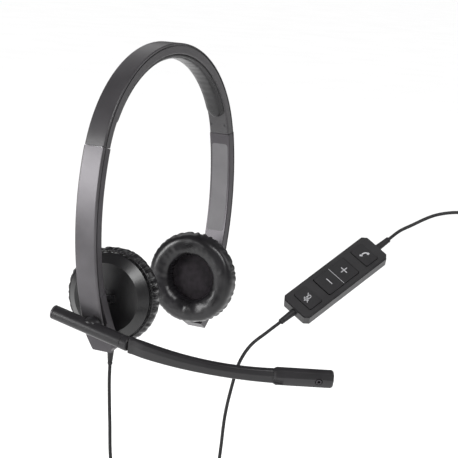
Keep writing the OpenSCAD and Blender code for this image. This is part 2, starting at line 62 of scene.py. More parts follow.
def make_camera():
    """Camera a metre off, in front of the right cup and a little above it, with a long lens."""
    look = (AIM_AT - CAMERA_AT).normalized()
    right = look.cross(UP).normalized()
    up = right.cross(look)
    turn = Matrix((right, up, -look)).transposed().to_4x4()
    data = bpy.data.cameras.new("camera")
    data.lens = LENS
    data.sensor_width = SENSOR
    data.clip_start = 0.01
    data.clip_end = 250
    camera = bpy.data.objects.new("camera", data)
    camera.matrix_world = Matrix.Translation(CAMERA_AT) @ turn
    bpy.context.scene.collection.objects.link(camera)
    bpy.context.scene.camera = camera


make_camera()


# ---------- materials ----------

def shader_of(mat):
    return mat.node_tree.nodes["Principled BSDF"]


def new_material(name, colour, rough, **sockets):
    mat = bpy.data.materials.new(name)
    mat.use_nodes = True
    shader = shader_of(mat)
    shader.inputs["Base Color"].default_value = (*colour, 1)
    shader.inputs["Roughness"].default_value = rough
    for key, value in sockets.items():
        shader.inputs[key.replace("_", " ")].default_value = value
    return mat


def texture(mat, kind, scale, out="Fac", **values):
    """A texture node in the piece's own coordinates; scale is in cells per metre."""
    tree = mat.node_tree
    place = tree.nodes.new("ShaderNodeTexCoord")
    tex = tree.nodes.new("ShaderNodeTex" + kind)
    tex.inputs["Scale"].default_value = scale
    for key, value in values.items():
        tex.inputs[key.replace("_", " ")].default_value = value
    tree.links.new(place.outputs["Object"], tex.inputs["Vector"])
    return tex, tex.outputs[out]


def tint(mat, fac, dark, light, low=0.35, high=0.65):
    """Base colour that drifts between two shades."""
    tree = mat.node_tree
    ramp = tree.nodes.new("ShaderNodeValToRGB")
    ramp.color_ramp.elements[0].position = low
    ramp.color_ramp.elements[0].color = (*dark, 1)
    ramp.color_ramp.elements[1].position = high
    ramp.color_ramp.elements[1].color = (*light, 1)
    tree.links.new(fac, ramp.inputs["Fac"])
    tree.links.new(ramp.outputs["Color"], shader_of(mat).inputs["Base Color"])


def gloss(mat, fac, low, high):
    """Roughness that drifts between two values."""
    tree = mat.node_tree
    span = tree.nodes.new("ShaderNodeMapRange")
    span.inputs["From Min"].default_value = 0.3
    span.inputs["From Max"].default_value = 0.7
    span.inputs["To Min"].default_value = low
    span.inputs["To Max"].default_value = high
    tree.links.new(fac, span.inputs["Value"])
    tree.links.new(span.outputs["Result"], shader_of(mat).inputs["Roughness"])


def relief(mat, fac, strength, depth):
    """Bump of a depth in metres, on top of any bump that is already there."""
    tree = mat.node_tree
    bump = tree.nodes.new("ShaderNodeBump")
    bump.inputs["Strength"].default_value = strength
    bump.inputs["Distance"].default_value = depth
    normal = shader_of(mat).inputs["Normal"]
    if normal.links:
        tree.links.new(normal.links[0].from_socket, bump.inputs["Normal"])
    tree.links.new(fac, bump.inputs["Height"])
    tree.links.new(bump.outputs["Normal"], normal)


def moulded(name, colour, rough, grain=3200, grain_strength=0.25, spread=0.12, **sockets):
    """Moulded plastic: fine spark-eroded grain, and a faint drift of shade and gloss."""
    sockets.setdefault("Specular_IOR_Level", 0.2)
    mat = new_material(name, colour, rough, **sockets)
    dark = [c * (1 - spread) for c in colour]
    light = [c * (1 + spread) for c in colour]
    _, cloud_fac = texture(mat, "Noise", 45, Detail=3.0)
    tint(mat, cloud_fac, dark, light)
    gloss(mat, cloud_fac, rough - 0.03, rough + 0.04)
    _, fine_fac = texture(mat, "Noise", grain, Detail=2.0, Roughness=0.6)
    relief(mat, fine_fac, grain_strength, 0.00006)
    return mat


def leatherette():
    """Thin black leatherette: pebbled grain over soft creases."""
    mat = new_material("leatherette", (0.006, 0.0056, 0.0064), 0.34, Specular_IOR_Level=0.34)
    _, cloud_fac = texture(mat, "Noise", 70, Detail=4.0)
    tint(mat, cloud_fac, (0.0045, 0.0042, 0.0048), (0.009, 0.0084, 0.0096))
    gloss(mat, cloud_fac, 0.26, 0.37)
    _, crease_fac = texture(mat, "Noise", 320, Detail=4.0, Roughness=0.6, Distortion=0.6)
    relief(mat, crease_fac, 0.25, 0.0003)
    _, pebble_fac = texture(mat, "Voronoi", 1900, "Distance", Randomness=1.0)
    relief(mat, pebble_fac, 0.3, 0.00007)
    return mat


def woven(name, colour, threads=420, strength=0.7):
    """Knitted cloth: two crossing runs of thread."""
    mat = new_material(name, colour, 0.85, Specular_IOR_Level=0.3)
    tree = mat.node_tree
    runs = []
    for direction in ("Y", "Z"):
        wave, fac = texture(mat, "Wave", threads, Distortion=0.6, Detail=1.0)
        wave.wave_type = "BANDS"
        wave.bands_direction = direction
        runs.append(fac)
    both = tree.nodes.new("ShaderNodeMath")
    both.operation = "MULTIPLY"
    tree.links.new(runs[0], both.inputs[0])
    tree.links.new(runs[1], both.inputs[1])
    relief(mat, both.outputs[0], strength, 0.00025)
    _, cloud_fac = texture(mat, "Noise", 260, Detail=5.0)
    tint(mat, cloud_fac, [c * 0.6 for c in colour], [c * 1.5 for c in colour])
    return mat


def brushed(name, colour, rough):
    """Drawn or stamped metal with fine running marks."""
    mat = new_material(name, colour, rough, Metallic=1.0)
    _, fac = texture(mat, "Noise", 900, Detail=3.0, Distortion=0.2)
    tint(mat, fac, [c * 0.85 for c in colour], [min(1, c * 1.1) for c in colour])
    gloss(mat, fac, rough - 0.06, rough + 0.08)
    relief(mat, fac, 0.12, 0.00004)
    return mat


def board_green():
    mat = new_material("board_green", (0.02, 0.14, 0.06), 0.4)
    _, fac = texture(mat, "Voronoi", 420, "Distance")
    tint(mat, fac, (0.012, 0.10, 0.04), (0.03, 0.17, 0.075), 0.1, 0.5)
    relief(mat, fac, 0.3, 0.00005)
    return mat


LOOKS = {
    "band_plastic": moulded("band_plastic", (0.026, 0.0245, 0.0265), 0.36, Specular_IOR_Level=0.4),
    "arm_satin": moulded("arm_satin", (0.066, 0.063, 0.067), 0.36, Metallic=0.5),
    "frame_plastic": moulded("frame_plastic", (0.014, 0.0133, 0.0145), 0.38),
    # arm_edge: the arm frame's own satin grey, made lighter still as a painted highlight along the
    # arm's rounded front edge
    "arm_edge": moulded("arm_edge", (0.045, 0.042, 0.046), 0.34, Metallic=0.5),
    "boom_plastic": moulded("boom_plastic", (0.010, 0.0094, 0.0104), 0.34, Specular_IOR_Level=0.26),
    "cup_plastic": moulded("cup_plastic", (0.005, 0.0048, 0.0053), 0.32, Specular_IOR_Level=0.42),
    "liner_satin": moulded("liner_satin", (0.10, 0.097, 0.102), 0.45),
    "leatherette": leatherette(),
    "speaker_fabric": woven("speaker_fabric", (0.008, 0.006, 0.008)),
    "pin_steel": brushed("pin_steel", (0.6, 0.6, 0.62), 0.3),
    "pin_black": brushed("pin_black", (0.05, 0.05, 0.052), 0.35),
    "cord_rubber": moulded("cord_rubber", (0.011, 0.0108, 0.0115), 0.45, 2200, 0.35),
    "relief_rubber": moulded("relief_rubber", (0.014, 0.0136, 0.0146), 0.45, 2200, 0.35),
    "remote_plastic": moulded("remote_plastic", (0.016, 0.0155, 0.0165), 0.42, Specular_IOR_Level=0.3),
    "key_plastic": moulded("key_plastic", (0.015, 0.0146, 0.0156), 0.48, 2600, 0.3),
    "key_print": moulded("key_print", (0.29, 0.29, 0.30), 0.6, 2600, 0.1, 0.05),
    "tie_strap": woven("tie_strap", (0.02, 0.02, 0.022), 300, 0.9),
    "board_green": board_green(),
    "plug_steel": brushed("plug_steel", (0.5, 0.5, 0.52), 0.28),
    "plug_white": moulded("plug_white", (0.75, 0.75, 0.74), 0.45),
}

NODE_LOOKS = {
    "band_cover": "band_plastic", "band_frame": "band_plastic", "band_spring": "pin_steel",
    "band_screws": "pin_black", "boom_axle": "pin_steel",
    "mic_element": "pin_steel", "barrel_cap": "arm_satin",
    "remote_top": "remote_plastic", "remote_bottom": "remote_plastic",
    "remote_board": "board_green", "remote_switches": "pin_steel",
    "remote_screws": "pin_steel", "mute_button": "key_plastic",
    "volume_rocker": "key_plastic", "call_button": "key_plastic",
    "plug_tongue": "plug_white"}
SIDE_LOOKS = {
    "arm_cover": "arm_satin", "arm_frame": "arm_edge", "arm_liner": "liner_satin",
    "click_spring": "pin_steel", "arm_screws": "pin_black", "swivel_pin": "pin_black",
    "pivot_block": "frame_plastic", "tilt_pin": "pin_black", "cup_shell": "cup_plastic",
    "cup_baffle": "frame_plastic", "driver": "pin_steel"}
for side in ("right", "left"):
    for part, look in SIDE_LOOKS.items():
        NODE_LOOKS[f"{side}_{part}"] = look

for node, look in NODE_LOOKS.items():
    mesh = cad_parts[node].data
    mesh.materials.clear()
    mesh.materials.append(LOOKS[look])


# ---------- shared mesh work ----------


def add_mesh(name, points, faces, look, body, smooth=True):
    """A piece from points in metres, riding on a CAD body."""
    mesh = bpy.data.meshes.new(name)
    mesh.from_pydata([tuple(p) for p in points], [], faces)
    mesh.validate()
    tidy = bmesh.new()
    tidy.from_mesh(mesh)
    bmesh.ops.remove_doubles(tidy, verts=tidy.verts, dist=1e-7)
    bmesh.ops.recalc_face_normals(tidy, faces=tidy.faces)
    tidy.to_mesh(mesh)
    tidy.free()
    for polygon in mesh.polygons:
        polygon.use_smooth = smooth
    mesh.materials.append(LOOKS[look])
    piece = bpy.data.objects.new(name, mesh)
    bpy.context.scene.collection.objects.link(piece)
    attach(piece, body)
    return piece


def sharpen(piece, angle=35):
    """Edges sharper than an angle stay crisp."""
    edges = bmesh.new()
    edges.from_mesh(piece.data)
    for edge in edges.edges:
        if len(edge.link_faces) == 2:
            edge.smooth = edge.calc_face_angle() < math.radians(angle)
    edges.to_mesh(piece.data)
    edges.free()


def bevel(piece, width, segments=3, angle=25):
    """Round every edge sharper than an angle."""
    step = piece.modifiers.new("round", "BEVEL")
    step.width = width
    step.segments = segments
    step.limit_method = "ANGLE"
    step.angle_limit = math.radians(angle)
    step.harden_normals = True


def loft(rings, closed_path=False, capped=True):
    """Points and faces of a skin over rings that all have the same number of points."""
    count = len(rings[0])
    points = [p for ring in rings for p in ring]
    faces = []
    spans = len(rings) if closed_path else len(rings) - 1
    for i in range(spans):
        a, b = i * count, (i + 1) % len(rings) * count
        for k in range(count):
            m = (k + 1) % count
            faces.append((a + k, a + m, b + m, b + k))
    if capped and not closed_path:
        faces.append(tuple(reversed(range(count))))
        faces.append(tuple(range((len(rings) - 1) * count, len(rings) * count)))
    return points, faces


def circle_points(centre, x_dir, y_dir, radius, count=48):
    return [
        centre + radius * (math.cos(t) * x_dir + math.sin(t) * y_dir)
        for t in (2 * math.pi * k / count for k in range(count))]


def turned(profile, place, count=64):
    """Rings of a profile of (radius, distance), turned about the Z axis of a place."""
    x_dir = place.to_3x3() @ Vector((1, 0, 0))
    y_dir = place.to_3x3() @ Vector((0, 1, 0))
    return [
        circle_points(place @ mm(0, 0, z), x_dir, y_dir, r * MM, count) for r, z in profile]


def scad_turn(x, y, z):
    """Turn by degrees about X, then Y, then Z."""
    return (
        Matrix.Rotation(math.radians(z), 4, "Z")
        @ Matrix.Rotation(math.radians(y), 4, "Y")
        @ Matrix.Rotation(math.radians(x), 4, "X"))


def move(x, y, z):
    return Matrix.Translation(mm(x, y, z))


def smooth_step(t):
    t = min(max(t, 0.0), 1.0)
    return t * t * (3 - 2 * t)


# ---------- cords ----------

CORD_D = 2.2
REMOTE_C = Vector((67, -98, 10))
REMOTE_TURN = scad_turn(34.5, -30, -24.5)
REMOTE_AXIS = REMOTE_TURN.to_3x3() @ Vector((1, 0, 0))
REMOTE_HALF = 76.5 / 2
REMOTE_END = REMOTE_HALF + 12
REMOTE_IN = REMOTE_C - REMOTE_AXIS * REMOTE_END
REMOTE_OUT = REMOTE_C + REMOTE_AXIS * REMOTE_END
HEADSET_ROUTE = [
    (-57, -6.2, -41), (-57, -6.6, -54), (-57, -8.6, -78),
    (-56.6, -11, -104), (-52.6, -16, -130), (-42, -27, -149), (-28.5, -41, -156),
    (-15, -54, -146), (-9, -60, -124), (-8, -62, -98), (-7, -63, -74),
    (-5, -65.5, -54), (-1, -67.5, -39), (7, -70.6, -28.5),
    REMOTE_IN - REMOTE_AXIS * 12, REMOTE_IN]
USB_ROUTE = [
    REMOTE_OUT, REMOTE_OUT + REMOTE_AXIS * 10, (120, -125, 44), (134, -138, 52),
    (146, -154, 54), (150, -169, 48), (150, -177, 38)]
PLUG_TOP = (150, -178, -14)
PLUG_ROUTE = [(150, -178, -6), PLUG_TOP]
COIL_PLACE = move(150, -178, 20) @ scad_turn(0, 0, 35) @ scad_turn(90, 0, 0)
COIL_MID_R = 13
COIL_START = 120
COIL_TURNS = 17.35
POINTS_A_TURN = 14


def coil_slots():
    """(layer, column) of each turn: down one column of turns and up the next."""
    columns = [range(0, 4), range(3, -1, -1), range(0, 5), range(4, -1, -1)]
    return [(layer, column) for column, layers in enumerate(columns) for layer in layers]


def coil_points():
    """The cord's line through its wound turns, in the coil's own place."""
    slots = coil_slots()
    points = []
    for k in range(int(COIL_TURNS * POINTS_A_TURN) + 1):
        turn = k / POINTS_A_TURN
        now = min(int(turn), len(slots) - 1)
        following = min(now + 1, len(slots) - 1)
        shift = smooth_step((turn - now - 0.72) / 0.28)
        layer = slots[now][0] + shift * (slots[following][0] - slots[now][0])
        column = slots[now][1] + shift * (slots[following][1] - slots[now][1])
        radius = COIL_MID_R + CORD_D * (2 - layer)
        angle = math.radians(COIL_START + 360 * turn)
        local = mm(
            radius * math.cos(angle), radius * math.sin(angle), CORD_D * (column - 1.5))
        points.append(COIL_PLACE @ local)
    return points


def make_cord(name, points, body):
    """One smooth round curve through points in metres."""
    data = bpy.data.curves.new(name, "CURVE")
    data.dimensions = "3D"
    data.bevel_depth = CORD_D / 2 * MM
    data.bevel_resolution = 6
    data.resolution_u = 8
    data.use_fill_caps = True
    spline = data.splines.new("BEZIER")
    spline.bezier_points.add(len(points) - 1)
    for i, (knot, p) in enumerate(zip(spline.bezier_points, points)):
        before = points[max(i - 1, 0)]
        after = points[min(i + 1, len(points) - 1)]
        lean = (after - before) / (1 if i in (0, len(points) - 1) else 2)
        knot.co = p
        knot.handle_left = p - lean / 3
        knot.handle_right = p + lean / 3
    data.materials.append(LOOKS["cord_rubber"])
    cord = bpy.data.objects.new(name, data)
    bpy.context.scene.collection.objects.link(cord)
    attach(cord, body)
    return cord


def in_metres(route):
    return [Vector(p) * MM for p in route]


headset_cord = make_cord("headset_lead", in_metres(HEADSET_ROUTE), "right_arm")
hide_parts("headset_cord")

coil_exit = [COIL_PLACE @ mm(-1.4, -20.6, 2.2)]
usb_cord = make_cord(
    "usb_lead",
    in_metres(USB_ROUTE) + coil_points() + coil_exit + in_metres(PLUG_ROUTE), "right_arm")
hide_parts("usb_cord", "cord_coil", "plug_cord")


# ---------- strain reliefs ----------

def make_relief(name, place, length, thick, thin, node):
    """Slightly tapered sleeve with a collar ring at its end. It starts at the place, along Z."""
    end = length - 1.9
    profile = [
        (0.01, 0), (thick - 0.25, 0), (thick, 0.3), (thick, 1.6), (thick - 0.12, 1.75),
        (thin, end - 0.25), (thin - 0.3, end - 0.1), (thin - 0.3, end + 0.15),
        (thin, end + 0.3), (thin, length - 0.45), (thin - 0.2, length - 0.12),
        (1.45, length), (1.12, length - 0.25), (0.01, length - 0.25)]
    points, faces = loft(turned(profile, place, 40), capped=False)
    piece = add_mesh(name, points, faces, "relief_rubber", "right_arm")
    sharpen(piece, 35)
    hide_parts(node)
    return piece


EXIT = (-57, -6.2, -31)
REMOTE_PLACE = Matrix.Translation(REMOTE_C * MM) @ REMOTE_TURN
PLUG_PLACE = move(*PLUG_TOP) @ scad_turn(180, 0, 35)

exit_relief = make_relief(
    "arm_relief", move(EXIT[0], EXIT[1], EXIT[2] + 0.8) @ scad_turn(180, 0, 0),
    10.8, 2.3, 1.55, "cord_relief")
relief_in = make_relief(
    "controller_relief_in", REMOTE_PLACE @ move(-REMOTE_HALF, 0, 0) @ scad_turn(0, -90, 0),
    12, 2.35, 1.95, "remote_relief_in")
relief_out = make_relief(
    "controller_relief_out", REMOTE_PLACE @ move(REMOTE_HALF, 0, 0) @ scad_turn(0, 90, 0),
    12, 2.35, 1.95, "remote_relief_out")
plug_relief = make_relief(
    "usb_relief", PLUG_PLACE @ move(0, 0, 12.1) @ scad_turn(180, 0, 0),
    12.1, 2.6, 1.9, "plug_relief")


# ---------- plug and tie ----------

def rounded_ring(place, x, y, r, z, count=6):
    """Points of a rectangle with round corners at height z of a place."""
    ring = []
    for cx, cy, start in (
            (x / 2 - r, y / 2 - r, 0), (-x / 2 + r, y / 2 - r, 90),
            (-x / 2 + r, -y / 2 + r, 180), (x / 2 - r, -y / 2 + r, 270)):
        for k in range(count + 1):
            t = math.radians(start + 90 * k / count)
            ring.append(place @ mm(cx + r * math.cos(t), cy + r * math.sin(t), z))
    return ring


def make_plug():
    """Plug body with grip grooves, its steel shell, dark patches of painted shade where its latch
    holes are, and contacts.
    """
    # waisted body with grip grooves across its broad faces
    steps = [(11.9, -2.4), (12.1, -1.4), (12.8, -0.4), (13.6, 0), (15, 0)]
    for k in range(4):
        z = 17 + 2.1 * k
        steps += [(z, 0), (z + 0.3, -0.7), (z + 0.9, -0.7), (z + 1.2, 0)]
    steps += [(30.6, 0), (31.5, -0.3), (32, -1.2)]
    rings = [
        rounded_ring(PLUG_PLACE, 15 + less, 7.5 + less, 2.2 + less * 0.2, z)
        for z, less in steps]
    points, faces = loft(rings)
    body = add_mesh("usb_body", points, faces, "cord_rubber", "right_arm")
    sharpen(body, 50)
    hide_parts("plug_body")

    # folded sheet shell: outer skin, lip and inner skin
    steps = [(31.8, 0, 0), (43.6, 0, 0), (44, -0.25, -0.1), (44, -0.7, -0.3), (32.4, -0.7, -0.3)]
    rings = [rounded_ring(PLUG_PLACE, 12 + less, 4.5 + less, 0.7 + corner, z)
             for z, less, corner in steps]
    points, faces = loft(rings)
    shell = add_mesh("usb_shell", points, faces, "plug_steel", "right_arm")
    sharpen(shell, 50)
    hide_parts("plug_shell")

    # the shell's latch holes, drawn as dark patches of painted shade on the shell, and the contacts on
    # the tongue
    window_shades = []
    for face in (1, -1):
        for x in (-2.6, 2.6):
            place = PLUG_PLACE @ move(x, face * 2.24, 37) @ scad_turn(90 * face, 0, 0)
            rings = [rounded_ring(place, 2.3, 2.3, 0.25, z) for z in (-0.06, 0.03)]
            points, faces = loft(rings)
            window_shades.append(add_mesh(
                f"usb_window_shade_{len(window_shades)}", points, faces, "cord_rubber", "right_arm"))
    contacts = []
    for x in (-3.5, -1.2, 1.2, 3.5):
        place = PLUG_PLACE @ move(x, 0.02, 39.5)
        rings = [[place @ mm(sx * 0.5, y, sz * 3.4) for sx, sz in
                  ((-1, -1), (1, -1), (1, 1), (-1, 1))] for y in (-0.08, 0.05)]
        points, faces = loft(rings)
        contacts.append(add_mesh(
            f"usb_contact_{len(contacts)}", points, faces, "plug_steel", "right_arm", False))
    return [body, shell, *window_shades, *contacts]


def make_tie():
    """Hook and loop strap round the coil's run at its side, its end lapped over."""
    place = COIL_PLACE @ move(COIL_MID_R, 0, 0) @ scad_turn(90, 0, 0)
    rings = []
    steps = 8
    half = 3
    for k in range(steps + 1):
        z = -half + 2 * half * k / steps
        edge = 0.12 if k in (0, steps) else 0
        rings.append(rounded_ring(place, 13.2 - edge, 11.2 - edge, 4.6, z, 10))
    inner = []
    for k in range(steps + 1):
        z = half - 2 * half * k / steps
        inner.append(rounded_ring(place, 11.8, 9.6, 4.2, z, 10))
    points, faces = loft(rings + inner, closed_path=True)
    strap = add_mesh("coil_tie", points, faces, "tie_strap", "right_arm")
    sharpen(strap, 40)
    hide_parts("cord_tie")
    # the lapped end goes about half of the way round the strap
    lapped = slice(2, 24)
    over = [
        rounded_ring(place, 13.2 + 1.2 * w, 11.2 + 1.2 * w, 4.6, z, 10)[lapped]
        for z, w in ((-2.9, 0.6), (-2.7, 1), (2.7, 1), (2.9, 0.6))]
    under = [
        rounded_ring(place, 13.1, 11.1, 4.6, z, 10)[lapped] for z in (2.9, 2.7, -2.7, -2.9)]
    count = len(over[0])
    rings = over + under
    points = [p for ring in rings for p in ring]
    faces = []
    for i in range(len(rings)):
        a, b = i * count, (i + 1) % len(rings) * count
        for k in range(count - 1):
            faces.append((a + k, a + k + 1, b + k + 1, b + k))
    ends = [i * count for i in range(len(rings))]
    faces.append(tuple(ends))
    faces.append(tuple(reversed([e + count - 1 for e in ends])))
    lap = add_mesh("coil_tie_end", points, faces, "tie_strap", "right_arm")
    sharpen(lap, 40)
    return [strap, lap]


plug_pieces = make_plug()
tie_pieces = make_tie()


# ---------- ear cushions ----------

RIM_X = 48.5
CUP_TURN = 8
SWIVEL_X = 62
FOLDS = 38
FOLD_DEPTH = 3.4
OUTER_SIDE_R = 24
INNER_FOLDS = 34
INNER_FOLD_DEPTH = 0.6
INNER_SIDE_R = 20
AROUND = FOLDS * 9
SECTION_POINTS = 56

# the cushion's section: (radius, distance from the cup towards the head)
CUSHION_SECTION = [
    (28.6, 0.15), (29.7, 0.5), (30.3, 1.8), (30.75, 3.6), (30.9, 5.6), (30.8, 7.6),
    (30.4, 9.4), (29.5, 11.0), (28.0, 12.2), (26.0, 12.9), (23.8, 13.0), (21.6, 12.6),
    (19.6, 11.7), (17.9, 10.3), (16.6, 8.5), (15.8, 6.4), (15.5, 4.2), (15.6, 2.2),
    (16.0, 0.8), (17.2, 0.15)]


def cup_place(side):
    """The cup's own place: its X axis towards the left ear, turned about its upright pin."""
    x = -SWIVEL_X if side == "right" else SWIVEL_X
    return move(x, 0, 0) @ scad_turn(0, 0, CUP_TURN) @ move(-x, 0, 0)


def spread_section(section, count):
    """Evenly spaced points along a smooth line through the section's points."""
    dense = []
    for i in range(len(section) - 1):
        p0 = Vector(section[max(i - 1, 0)])
        p1 = Vector(section[i])
        p2 = Vector(section[i + 1])
        p3 = Vector(section[min(i + 2, len(section) - 1)])
        for k in range(8):
            u = k / 8
            t1, t2 = (p2 - p0) / 2, (p3 - p1) / 2
            dense.append(
                p1 * (2 * u**3 - 3 * u**2 + 1) + t1 * (u**3 - 2 * u**2 + u)
                + p2 * (3 * u**2 - 2 * u**3) + t2 * (u**3 - u**2))
    dense.append(Vector(section[-1]))
    walked = [0.0]
    for a, b in zip(dense, dense[1:]):
        walked.append(walked[-1] + (b - a).length)
    spread, i = [], 0
    for k in range(count):
        want = walked[-1] * k / (count - 1)
        while i < len(walked) - 2 and walked[i + 1] < want:
            i += 1
        share = (want - walked[i]) / max(walked[i + 1] - walked[i], 1e-9)
        spread.append(dense[i].lerp(dense[i + 1], share))
    return spread


def fold_angles(count, wander):
    """Angles of the gathers' valleys, unevenly spaced."""
    marks = [(k + rng.uniform(-wander, wander)) * 2 * math.pi / count for k in range(count)]
    return sorted(marks)


def gather(angle, marks, depths, sharp):
    """0 on top of a fold and up to 1 in the valleys between folds."""
    count = len(marks)
    best = 0.0
    pitch = 2 * math.pi / count
    for k in (int(angle / pitch) + d for d in (-1, 0, 1, 2)):
        mark = marks[k % count]
        away = abs((angle - mark + math.pi) % (2 * math.pi) - math.pi) / pitch
        best = max(best, depths[k % count] * math.exp(-(away / sharp) ** 2))
    return best


def cushion_rings():
    """Rings of the gathered cushion round its own axis, before it swells."""
    section = spread_section(CUSHION_SECTION, SECTION_POINTS)
    outer, inner = fold_angles(FOLDS, 0.3), fold_angles(INNER_FOLDS, 0.28)
    # the cover is gathered more on one side of the ring than on the other
    outer_depth = [rng.uniform(0.5, 1.0) * (0.62 - 0.38 * math.cos(mark)) for mark in outer]
    outer_reach = [rng.uniform(6.0, 11.0) for _ in outer]
    inner_depth = [rng.uniform(0.4, 1.0) for _ in inner]
    slants = [rng.uniform(-0.02, 0.02) for _ in range(6)]
    rings = []
    for k in range(AROUND):
        angle = 2 * math.pi * k / AROUND
        lean = sum(s * math.sin((n + 2) * angle) for n, s in enumerate(slants))
        wave = 0.12 * math.sin(3 * angle + 0.7) + 0.08 * math.sin(7 * angle + 2.1)
        nearest = int(angle / (2 * math.pi) * len(outer)) % len(outer)
        ring = []
        for r, x in section:
            on_face = smooth_step((x - 9.5) / 3)
            turned_angle = (angle + lean * (x / 4)) % (2 * math.pi)
            if r > OUTER_SIDE_R:
                fade = 1 - smooth_step((x - 1.5) / outer_reach[nearest])
                fade = max(fade, 0.12 * (1 - on_face))
                dip = FOLD_DEPTH * fade * gather(turned_angle, outer, outer_depth, 0.23)
                puff = 0.35 * fade * math.sin(math.pi * min(x / 8, 1))
                r = r - dip + puff
            elif r < INNER_SIDE_R:
                fade = 1 - smooth_step((x - 5) / 5)
                dip = INNER_FOLD_DEPTH * fade * gather(turned_angle, inner, inner_depth, 0.22)
                r = r + dip
            height = x + wave * on_face
            ring.append((r, height))
        rings.append((angle, ring))
    return rings


def evened(shifts, faces, rounds):
    """Each point's shift averaged with its neighbours', a number of times."""
    edges = np.array([
        pair for face in faces for pair in zip(face, (*face[1:], face[0]))])
    count = np.bincount(edges[:, 0], minlength=len(shifts))[:, None]
    shifts = np.array([tuple(shift) for shift in shifts])
    for _ in range(rounds):
        total = np.zeros_like(shifts)
        np.add.at(total, edges[:, 0], shifts[edges[:, 1]])
        shifts = (shifts + total / count) / 2
    return shifts


# the cloth is worked out at ten times its size, where the solver is steadier
SIM_SCALE = 10
SIM_FRAMES = 16
HELD_BELOW = 1.3
# the modelled gathers stay: a point moves this far at most, evened out with its neighbours
SHIFT_CAP = 0.8
EVEN_ROUNDS = 16


def swell(name, points, faces):
    """Let the ring's cover swell and settle under pressure, its back edge held."""
    mesh = bpy.data.meshes.new(name)
    mesh.from_pydata([tuple(p * SIM_SCALE) for p in points], [], faces)
    piece = bpy.data.objects.new(name, mesh)
    bpy.context.scene.collection.objects.link(piece)
    held = piece.vertex_groups.new(name="held")
    held.add([i for i, p in enumerate(points) if p.x < HELD_BELOW * MM], 1.0, "REPLACE")
    cloth = piece.modifiers.new("cloth", "CLOTH")
    settings = cloth.settings
    settings.quality = 6
    settings.mass = 0.25
    settings.tension_stiffness = 12
    settings.compression_stiffness = 12
    settings.shear_stiffness = 6
    settings.bending_stiffness = 0.6
    settings.air_damping = 3
    settings.use_pressure = True
    settings.uniform_pressure_force = 2.2
    settings.shrink_min = 0.01
    settings.vertex_group_mass = "held"
    settings.effector_weights.gravity = 0
    cloth.collision_settings.use_collision = False
    scene = bpy.context.scene
    for number in range(1, SIM_FRAMES + 1):
        scene.frame_set(number)
    shaped = piece.evaluated_get(bpy.context.evaluated_depsgraph_get()).to_mesh()
    shifts = []
    cap = SHIFT_CAP * MM
    for vertex, start in zip(shaped.vertices, points):
        shift = Vector(vertex.co) / SIM_SCALE - start
        if shift.length > cap:
            shift = shift.normalized() * cap
        shifts.append(shift)
    shifts = evened(shifts, faces, EVEN_ROUNDS)
    result = [start + Vector(shift) for start, shift in zip(points, shifts)]
    bpy.data.objects.remove(piece)
    bpy.data.meshes.remove(mesh)
    scene.frame_set(1)
    return result


def make_cushion_shape():
    """Points (x towards the head, y, z) and faces of one cushion, in metres."""
    rings = []
    for angle, ring in cushion_rings():
        rings.append([
            mm(x, r * math.cos(angle), r * math.sin(angle)) for r, x in ring])
    points, faces = loft(rings, closed_path=True)
    points = swell("cushion_cloth", points, faces)
    return points, faces


CUSHION_POINTS, CUSHION_FACES = make_cushion_shape()


def make_cushion(side, spin):
    """One cup's cushion, spun about its own axis so that the two cups' folds differ."""
    sign = -1 if side == "right" else 1
    turn = Matrix.Rotation(math.radians(spin), 3, "X")
    place = cup_place(side)
    points = []
    for p in CUSHION_POINTS:
        q = turn @ p
        points.append(place @ Vector((sign * (RIM_X * MM - q.x), q.y, q.z)))
    cushion = add_mesh(
        f"{side}_cushion", points, CUSHION_FACES, "leatherette", f"{side}_cup")
    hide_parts(f"{side}_ear_cushion")
    make_seam(side, sign)
    make_speaker_cloth(side, sign)


def make_seam(side, sign):
    """Sewn bead where the cushion's cover meets the cup's rim, with its stitches."""
    rings = []
    count = 360
    seam_r = 28.7
    seam_x = sign * (RIM_X - 0.45)
    stitches = 90
    for k in range(count):
        t = 2 * math.pi * k / count
        out = Vector((0, math.cos(t), math.sin(t)))
        centre = Vector((seam_x * MM, 0, 0)) + out * seam_r * MM
        r = (0.62 + 0.05 * math.sin(t * stitches)) * MM
        rings.append(circle_points(centre, out, Vector((1, 0, 0)), r, 10))
    points, faces = loft(rings, closed_path=True)
    points = [cup_place(side) @ p for p in points]
    add_mesh(f"{side}_cushion_bead", points, faces, "leatherette", f"{side}_cup")


def make_speaker_cloth(side, sign):
    """Cloth over the driver: slightly domed, puckered where the cushion holds it."""
    radius = 16.4
    rings = []
    count = 180
    for j in range(25):
        r = 0.05 + (radius - 0.05) * j / 24
        edge = smooth_step((r - 10.5) / (radius - 10.5))
        ring = []
        for k in range(count):
            t = 2 * math.pi * k / count
            pucker = 0.13 * edge * math.sin(46 * t + math.sin(3 * t)) * (1 - edge * 0.3)
            dome = 1.1 * (1 - (r / radius) ** 2)
            x = sign * (RIM_X - 0.75 - dome + pucker)
            ring.append(cup_place(side) @ mm(x, r * math.cos(t), r * math.sin(t)))
        rings.append(ring)
    points, faces = loft(rings, capped=False)
    faces.append(tuple(range(count)))
    cloth = add_mesh(
        f"{side}_cloth", points, faces, "speaker_fabric", f"{side}_cup")
    thick = cloth.modifiers.new("thickness", "SOLIDIFY")
    thick.thickness = 0.25 * MM
    thick.offset = 0
    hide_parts(f"{side}_speaker_cloth")


make_cushion("right", 0)
make_cushion("left", 171)


# ---------- head pad ----------

CROWN_R = 77
CROWN_Z = 155 - CROWN_R
PAD_OUT = CROWN_R - 7.2 / 2 - 0.02
PAD_T = 3.2
PAD_W = 13


